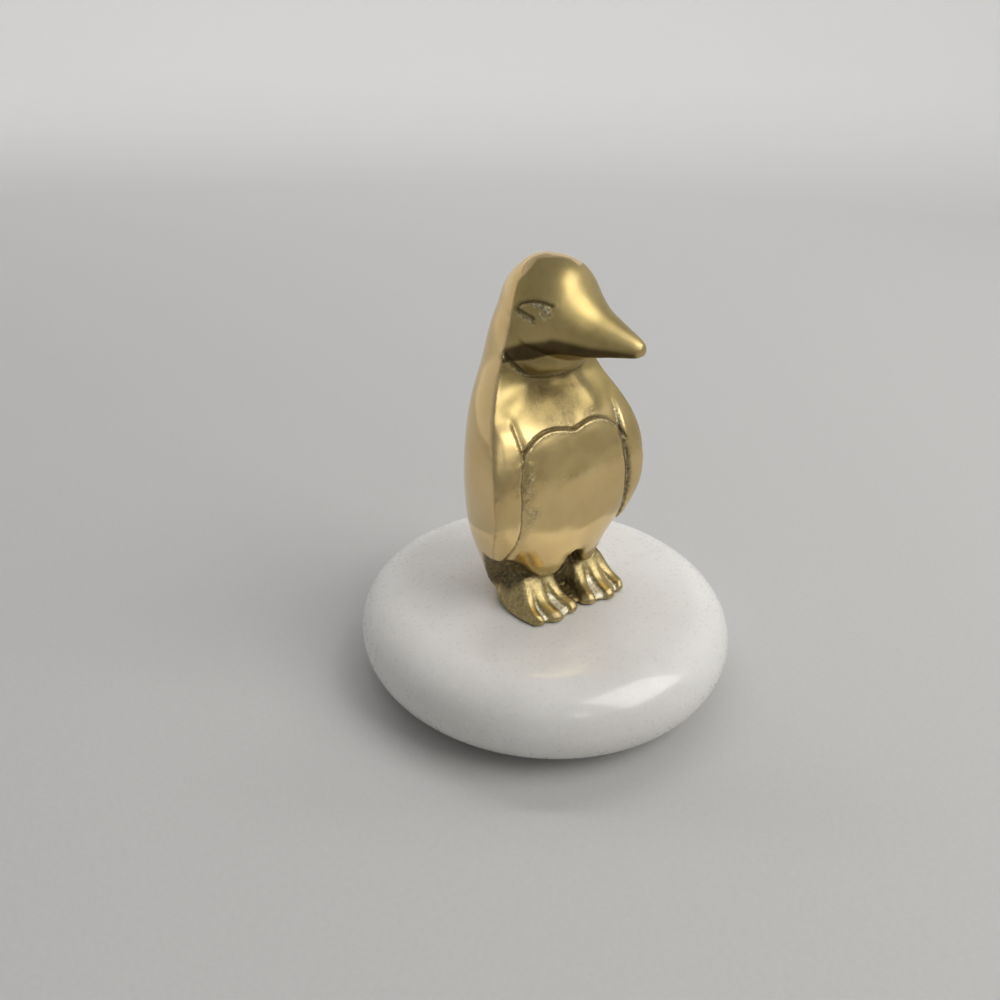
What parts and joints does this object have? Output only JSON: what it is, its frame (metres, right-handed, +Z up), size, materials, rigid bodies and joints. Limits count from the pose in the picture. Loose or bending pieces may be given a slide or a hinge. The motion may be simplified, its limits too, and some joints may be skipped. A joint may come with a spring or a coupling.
{
  "type": "figurine paperweight",
  "caption": "Cast standing penguin paperweight with folded flippers and turned head, bolted through a round bullnosed stone base with a felt pad below.",
  "frame": {"origin": "centre of the felt pad's resting face", "axes": "+Z up, -Y the way the penguin's body faces, +X its left"},
  "size_m": [0.0888, 0.0888, 0.0986],
  "materials": {
    "brass": "polished back, satin front with dark patina in the recesses",
    "marble": "polished, fine crystalline grain",
    "felt": "short felt nap",
    "steel": "plain machined"
  },
  "bodies": {
    "root": {"penguin_casting": "brass", "marble_base": "marble", "felt_pad": "felt", "threaded_stud": "steel", "washer": "steel", "hex_nut": "steel"}
  },
  "joints": []
}
